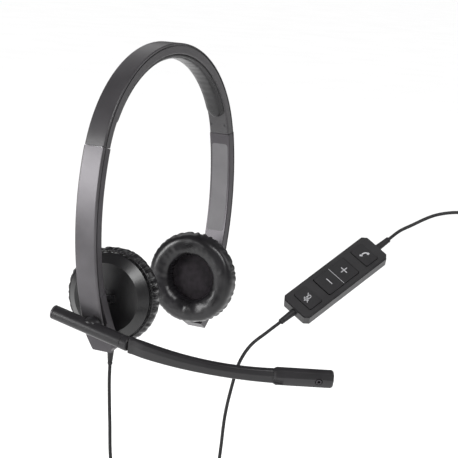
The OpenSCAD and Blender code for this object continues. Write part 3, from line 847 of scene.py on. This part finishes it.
# (share of the half width, share of the thickness), from edge to edge and back
PAD_SECTION = [
    (-0.97, 0.0), (-1.0, 0.12), (-1.0, 0.34), (-0.97, 0.5), (-0.93, 0.56), (-0.905, 0.53),
    (-0.88, 0.57), (-0.82, 0.7), (-0.7, 0.84), (-0.5, 0.94), (-0.25, 0.985), (0, 1.0),
    (0.25, 0.985), (0.5, 0.94), (0.7, 0.84), (0.82, 0.7), (0.88, 0.57), (0.905, 0.53),
    (0.93, 0.56), (0.97, 0.5), (1.0, 0.34), (1.0, 0.12), (0.97, 0.0), (0.5, 0.0), (0, 0.0),
    (-0.5, 0.0)]


def make_pad():
    """Pad with round ends along the crown's inside: crowned, with a seam near its edge."""
    # the angles round the crown at which the pad starts and ends
    first = 24.2
    last = 155.8
    span = math.radians(last - first) * PAD_OUT
    steps = 240
    rings = []
    for i in range(steps + 1):
        # closer steps towards the ends, where the outline turns
        share = 0.5 - 0.5 * math.cos(math.pi * i / steps)
        along = span * share
        edge = min(along, span - along)
        round_end = math.sqrt(max(1 - (1 - min(edge / (PAD_W / 2), 1)) ** 2, 0.0004))
        angle = math.radians(first) + along / PAD_OUT
        out = Vector((math.cos(angle), 0, math.sin(angle)))
        ripple = 0.05 * math.sin(along * 1.1) + 0.04 * math.sin(along * 0.47 + 1)
        ring = []
        for y_share, depth in PAD_SECTION:
            y = y_share * PAD_W / 2 * round_end
            t = PAD_T * depth * (0.55 + 0.45 * round_end)
            if depth > 0.8:
                t += ripple * depth
            ring.append(Vector((0, 0, CROWN_Z * MM)) + out * (PAD_OUT - t) * MM + mm(0, y, 0))
        rings.append(ring)
    points, faces = loft(rings)
    pad = add_mesh("crown_pad", points, faces, "leatherette", "headband")
    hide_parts("head_pad")


make_pad()


# ---------- boom ----------

HUB = (-75.6, -2, -15)
BOOM_PLACE = move(*HUB) @ scad_turn(0, -20, 0) @ scad_turn(13.4, 0, 0)
BARREL_R = 4.5
BARREL_BACK = 26.5
BARREL_FRONT = 28.6
BOOM_R = 185
BOOM_START = 3
BOOM_SWEEP = 28
BOOM_GAP = 0.35
MIC_L = 36.5
TIP_R = 2.2
PORT_FROM_TIP = 9


def make_barrel():
    """Round barrel with a chamfered nose and a seam behind it, and its domed hub."""
    place = BOOM_PLACE @ scad_turn(90, 0, 0)
    r = BARREL_R
    profile = [
        (0.01, -BARREL_BACK + 1.1), (r - 0.5, -BARREL_BACK + 1.1), (r - 0.05, -BARREL_BACK + 1.4),
        (r, -BARREL_BACK + 2), (r, BARREL_FRONT - 5.2), (r - 0.25, BARREL_FRONT - 5),
        (r - 0.25, BARREL_FRONT - 4.5), (r + 0.02, BARREL_FRONT - 4.3),
        (r + 0.02, BARREL_FRONT - 0.7), (r - 0.35, BARREL_FRONT - 0.1),
        (r - 0.9, BARREL_FRONT), (0.01, BARREL_FRONT)]
    points, faces = loft(turned(profile, place, 72), capped=False)
    barrel = add_mesh("barrel_tube", points, faces, "boom_plastic", "boom")
    sharpen(barrel, 30)
    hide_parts("boom_barrel")

    hub_place = BOOM_PLACE @ scad_turn(0, 90, 0)
    profile = [
        (0.01, -2.4), (1.2, -2.4), (3.6, -2.1), (4.8, -1.5), (5.4, -0.6), (5.6, 0.4),
        (5.6, 4.3), (5.4, 4.75), (4.9, 4.95), (0.01, 4.95)]
    points, faces = loft(turned(profile, hub_place, 64), capped=False)
    hub = add_mesh("barrel_hub", points, faces, "boom_plastic", "boom")
    sharpen(hub, 30)


def make_cap():
    """Domed end cap in a lighter finish."""
    place = BOOM_PLACE @ scad_turn(90, 0, 0)
    r = BARREL_R
    z = -BARREL_BACK
    profile = [
        (0.01, z - 0.78), (2.2, z - 0.72), (3.6, z - 0.55), (r - 0.25, z - 0.2),
        (r, z + 0.15), (r, z + 0.9), (r - 0.35, z + 1.05), (0.01, z + 1.05)]
    points, faces = loft(turned(profile, place, 72), capped=False)
    cap = add_mesh("barrel_end", points, faces, "arm_satin", "boom")
    sharpen(cap, 35)
    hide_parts("barrel_cap")


def strip_height(share):
    """Height of the strip along its length: it narrows to a waist, then widens again."""
    return 11.3 - 2.3 * math.sin(math.pi * min(share / 1.3, 1)) ** 1.3 - 0.7 * share


def strip_section(h, w):
    """Half-round-edged section: X towards the head, Y up, with a crease above the middle."""
    corners = [
        (-2.3, -h / 2 + 0.9), (-1.5, -h / 2), (1.7, -h / 2), (2.2, -h / 2 + 0.7),
        (2.2, h / 2 - 0.7), (1.7, h / 2), (-0.8, h / 2), (-1.5, h / 2 - 0.6), (-2.7, h / 6)]
    return [(x * w, y) for x, y in corners]


def strip_point(share):
    """Place at a share of the strip's length: its origin on the curve, -Y along it."""
    a = BOOM_START + BOOM_SWEEP * share
    cx = BOOM_R * math.cos(math.radians(BOOM_START))
    cy = -BARREL_FRONT - BOOM_GAP + BOOM_R * math.sin(math.radians(BOOM_START))
    x = cx - BOOM_R * math.cos(math.radians(a))
    y = cy - BOOM_R * math.sin(math.radians(a))
    return BOOM_PLACE @ move(x, y, 0) @ scad_turn(0, 0, a)


def make_strip():
    """Flat strip that curves forward from the barrel to the microphone."""
    rings = []
    steps = 60
    for i in range(steps + 1):
        share = i / steps
        width = 0.78 + 0.22 * smooth_step((share - 0.02) / 0.1)
        if share < 0.02:
            width = 0.95
        place = strip_point(share)
        rings.append([place @ mm(x, 0, z) for x, z in strip_section(strip_height(share), width)])
    points, faces = loft(rings)
    strip = add_mesh("boom_blade", points, faces, "boom_plastic", "boom")
    bevel(strip, 0.35 * MM, 3, 18)
    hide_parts("boom_strip")


def mic_rings():
    """Housing: it swells out of the strip, then closes in a rounded end."""
    place = strip_point(1)
    rings = []
    steps = 44
    for i in range(steps + 1):
        share = i / steps
        along = MIC_L * math.sin(share * math.pi / 2) ** 1.3
        swell_in = smooth_step(along / 2)
        end = max(0.0, (along - (MIC_L - TIP_R)) / TIP_R)
        close = 1 - 0.35 * (1 - math.sqrt(max(1 - end**2.2, 0)))
        height = (9.9 + 1.1 * swell_in) * close
        width = (1.0 + 0.45 * swell_in) * (0.35 + 0.65 * close)
        rings.append([
            place @ mm(x, -along, z) for x, z in mic_section(height, width, swell_in)])
    return rings


def mic_section(h, w, swell_in):
    """Rounded section whose outer side keeps the strip's crease."""
    crease = h / 6
    points = []
    for x, z in (
            (-2.25, -h * 0.34), (-1.9, -h * 0.44), (-1.1, -h / 2), (1.1, -h / 2),
            (1.9, -h * 0.44), (2.25, -h * 0.3), (2.3, 0), (2.25, h * 0.3), (1.9, h * 0.44),
            (1.1, h / 2), (-0.5, h / 2), (-1.3, h * 0.45), (-2.5, crease + 0.25),
            (-2.62, crease - 0.1)):
        points.append((x * w, z))
    return points


def cut_with(piece, cutter):
    """Cut a closed shape out of a piece."""
    step = piece.modifiers.new("cut", "BOOLEAN")
    step.operation = "DIFFERENCE"
    step.solver = "EXACT"
    step.object = cutter
    bpy.context.view_layer.update()
    cut = bpy.data.meshes.new_from_object(
        piece.evaluated_get(bpy.context.evaluated_depsgraph_get()))
    piece.modifiers.remove(step)
    old = piece.data
    piece.data = cut
    bpy.data.meshes.remove(old)
    bpy.data.objects.remove(cutter)


def make_mic():
    """Microphone housing with its port, the port's ring, and a scoop at its root."""
    points, faces = loft(mic_rings())
    housing = add_mesh("mic_pod", points, faces, "boom_plastic", "boom")
    place = strip_point(1)
    # a port near the tip, and a shallow scoop where the housing leaves the strip
    port = place @ move(0, -MIC_L + PORT_FROM_TIP, 0) @ scad_turn(0, 90, 0)
    points, faces = loft(turned([(2.3, -6), (2.3, -1.6)], port, 40))
    cut_with(housing, add_mesh("port_cutter", points, faces, "boom_plastic", "boom"))
    scoop = place @ move(-4.1, -1.4, -2.2) @ scad_turn(0, 8, 0) @ scad_turn(90, 0, 0)
    profile = [(0.4, -6), (1.6, -4.2), (2.1, 0), (1.6, 4.2), (0.4, 6)]
    points, faces = loft(turned(profile, scoop, 32))
    cut_with(housing, add_mesh("scoop_cutter", points, faces, "boom_plastic", "boom"))
    sharpen(housing, 28)
    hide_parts("mic_housing")

    profile = [
        (0.95, -1.4), (0.95, -3.75), (1.1, -3.9), (1.6, -3.9), (1.75, -3.75), (1.75, -1.4)]
    ring = turned(profile, port, 40)
    points, faces = loft(ring, closed_path=True)
    rim = add_mesh("mic_port_ring", points, faces, "arm_edge", "boom")
    sharpen(rim, 35)


make_barrel()
make_cap()
make_strip()
make_mic()


# ---------- controller keys' print ----------

KEY_TOP = 8.2 / 2 + 0.5
KEY_PITCH = 26


def stroke(points, width, closed=False):
    """Flat ribbon of a width along 2-D points, as outline pairs."""
    pairs = []
    count = len(points)
    for i, p in enumerate(points):
        before = points[i - 1] if i > 0 or closed else p
        after = points[(i + 1) % count] if i < count - 1 or closed else p
        along = (Vector(after) - Vector(before)).normalized()
        side = Vector((-along.y, along.x)) * width / 2
        pairs.append((Vector(p) + side, Vector(p) - side))
    return pairs


def print_ribbon(name, points, width, body, closed=False):
    """A printed line: a thin ribbon that lies on the key's top."""
    rings = []
    for a, b in stroke(points, width, closed):
        low, high = KEY_TOP - 0.04, KEY_TOP + 0.05
        rings.append([
            REMOTE_PLACE @ mm(a.x, a.y, low), REMOTE_PLACE @ mm(b.x, b.y, low),
            REMOTE_PLACE @ mm(b.x, b.y, high), REMOTE_PLACE @ mm(a.x, a.y, high)])
    mesh_points, faces = loft(rings, closed_path=closed)
    return add_mesh(name, mesh_points, faces, "key_print", body, smooth=False)


def arc(cx, cy, r, first, last, count=16):
    return [
        (cx + r * math.cos(math.radians(first + (last - first) * k / count)),
         cy + r * math.sin(math.radians(first + (last - first) * k / count)))
        for k in range(count + 1)]


def make_print():
    """The keys' signs, printed in pale grey."""
    thin = 0.45
    # minus and plus on the rocker, and the line between its halves
    print_ribbon("print_minus", [(-6.4, 2.7), (-6.4, -2.7)], 0.6, "volume_key")
    print_ribbon("print_plus_level", [(7.2, 2.7), (7.2, -2.7)], 0.6, "volume_key")
    print_ribbon("print_plus_upright", [(4.5, 0), (9.9, 0)], 0.6, "volume_key")
    print_ribbon("print_divider", [(0, 7.3), (0, -7.3)], 0.28, "volume_key")
    # microphone on the mute key, its top towards the far end of the casing
    x = -KEY_PITCH
    capsule = arc(x + 1.5, 0, 1.0, -90, 90) + arc(x - 0.4, 0, 1.0, 90, 270)
    print_ribbon("print_mic_body", capsule, thin, "mute_key", closed=True)
    print_ribbon("print_mic_cradle", arc(x - 0.4, 0, 2.0, 110, 250), thin, "mute_key")
    print_ribbon("print_mic_stem", [(x - 2.4, 0), (x - 3.5, 0)], thin, "mute_key")
    print_ribbon("print_mic_slash", [(x + 2.9, 2.5), (x - 3.0, -2.5)], thin, "mute_key")
    # handset on the call key
    x = KEY_PITCH
    print_ribbon("print_handset", arc(x - 0.2, -2.2, 3.3, 30, 118), 0.9, "call_key")
    print_ribbon("print_handset_ear", [(x - 2.5, 1.6), (x - 1.2, 0.2)], 1.4, "call_key")
    print_ribbon("print_handset_mouth", [(x + 3.4, -1.2), (x + 1.7, -1.3)], 1.4, "call_key")


make_print()


# ---------- floor and light ----------

def make_floor():
    """Plain pale floor, wide enough to fill the view."""
    mat = new_material("studio_floor", (0.93, 0.93, 0.93), 0.7)
    _, fac = texture(mat, "Noise", 3)
    tint(mat, fac, (0.92, 0.92, 0.92), (0.94, 0.94, 0.94))
    size = 90
    z = -0.45
    mesh = bpy.data.meshes.new("studio_floor")
    mesh.from_pydata(
        [(-size, -size, z), (size, -size, z), (size, size, z), (-size, size, z)],
        [], [(0, 1, 2, 3)])
    mesh.materials.append(mat)
    floor = bpy.data.objects.new("studio_floor", mesh)
    bpy.context.scene.collection.objects.link(floor)


def add_light(name, at, size, power):
    data = bpy.data.lights.new(name, "AREA")
    data.shape = "RECTANGLE"
    data.size, data.size_y = size
    data.energy = power
    light = bpy.data.objects.new(name, data)
    light.location = at
    light.rotation_euler = (-Vector(at)).to_track_quat("-Z", "Y").to_euler()
    bpy.context.scene.collection.objects.link(light)


def make_light():
    """Soft lights from four sides, and an even light from above."""
    add_light("side", (-1.35, 0.9, 0.25), (0.5, 0.6), 22)
    add_light("front", (-0.9, -1.2, 1.3), (0.7, 0.7), 26)
    add_light("back", (0.9, 1.2, 1.1), (1.2, 0.8), 3)
    add_light("right", (1.2, -1.3, 0.9), (0.9, 1.2), 8)
    sky = bpy.data.lights.new("sky", "SUN")
    sky.energy = 3.3
    sky.angle = math.radians(110)
    sun = bpy.data.objects.new("sky", sky)
    # it lights the pieces and the floor, but is kept out of the plastics' reflections
    sun.visible_glossy = False
    bpy.context.scene.collection.objects.link(sun)
    world = bpy.data.worlds.new("studio")
    world.use_nodes = True
    world.node_tree.nodes["Background"].inputs["Color"].default_value = (1, 1, 1, 1)
    world.node_tree.nodes["Background"].inputs["Strength"].default_value = 0.12
    bpy.context.scene.world = world
    bpy.context.scene.view_settings.view_transform = "Standard"


make_floor()
make_light()
